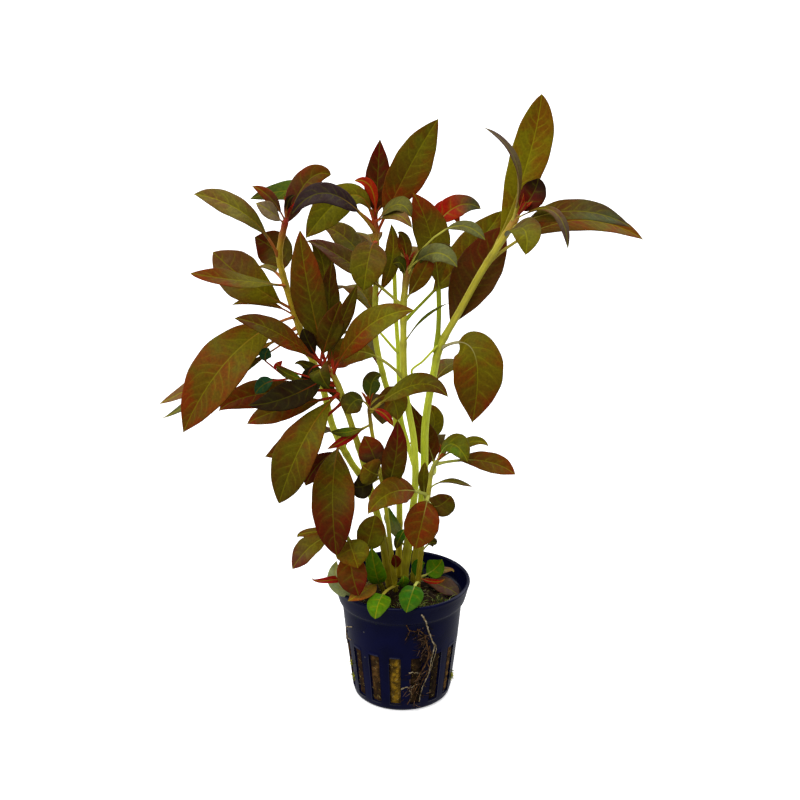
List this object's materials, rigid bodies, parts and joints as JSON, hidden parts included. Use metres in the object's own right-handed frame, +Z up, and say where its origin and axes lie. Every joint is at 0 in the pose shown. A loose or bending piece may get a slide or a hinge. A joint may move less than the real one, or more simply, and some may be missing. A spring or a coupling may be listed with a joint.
{
  "type": "potted ludwigia glandulosa",
  "caption": "Bushy red-bronze aquarium stem plant with pointed leaves on upright shoots, growing in mineral wool in a small slotted net pot.",
  "frame": {"origin": "middle of the pot's flat base, on the surface that it stands on", "axes": "+Z up along the pot's axis and the shoots, -Y towards the side seen first, +X to the right of that view"},
  "size_m": [0.184, 0.0794, 0.2374],
  "materials": {
    "dark_plastic": "satin",
    "mineral_wool": "matte",
    "pale_root": "matte",
    "green_stem": "satin",
    "bronze_leaf": "satin",
    "maroon_leaf": "satin",
    "green_leaf": "satin"
  },
  "bodies": {
    "root": {"net_pot": "dark_plastic", "growing_medium": "mineral_wool", "outer_root": "pale_root", "shoot_left": "green_stem", "shoot_front": "green_stem", "shoot_middle": "green_stem", "shoot_centre": "green_stem", "shoot_right": "green_stem", "shoot_short": "green_stem", "shoot_side": "green_stem", "shoot_low": "green_stem", "leaf_left_1": "bronze_leaf", "leaf_left_2": "maroon_leaf", "leaf_left_3": "bronze_leaf", "leaf_left_4": "bronze_leaf", "leaf_left_5": "bronze_leaf", "leaf_left_6": "bronze_leaf", "leaf_left_7": "maroon_leaf", "leaf_left_8": "bronze_leaf", "leaf_left_9": "bronze_leaf", "leaf_middle_1": "bronze_leaf", "leaf_middle_2": "maroon_leaf", "leaf_middle_3": "bronze_leaf", "leaf_middle_4": "bronze_leaf", "leaf_middle_5": "bronze_leaf", "leaf_centre_1": "bronze_leaf", "leaf_centre_2": "maroon_leaf", "leaf_centre_3": "bronze_leaf", "leaf_centre_4": "bronze_leaf", "leaf_centre_5": "bronze_leaf", "leaf_middle_6": "bronze_leaf", "leaf_short_2": "maroon_leaf", "leaf_right_1": "bronze_leaf", "leaf_right_2": "bronze_leaf", "leaf_right_3": "bronze_leaf", "leaf_right_4": "bronze_leaf", "leaf_right_5": "bronze_leaf", "leaf_right_6": "maroon_leaf", "leaf_right_7": "bronze_leaf", "leaf_right_8": "bronze_leaf", "leaf_right_9": "bronze_leaf", "leaf_front_1": "bronze_leaf", "leaf_front_2": "bronze_leaf", "leaf_front_3": "bronze_leaf", "leaf_front_4": "maroon_leaf", "leaf_front_5": "bronze_leaf", "leaf_front_6": "bronze_leaf", "leaf_front_7": "bronze_leaf", "leaf_front_8": "bronze_leaf", "leaf_front_9": "bronze_leaf", "leaf_short_1": "bronze_leaf", "leaf_side_1": "maroon_leaf", "leaf_side_2": "bronze_leaf", "leaf_side_3": "bronze_leaf", "leaf_side_4": "bronze_leaf", "leaf_low_1": "bronze_leaf", "leaf_low_2": "bronze_leaf", "leaf_low_3": "maroon_leaf", "leaf_base_1": "green_leaf", "leaf_base_2": "green_leaf"}
  },
  "joints": []
}
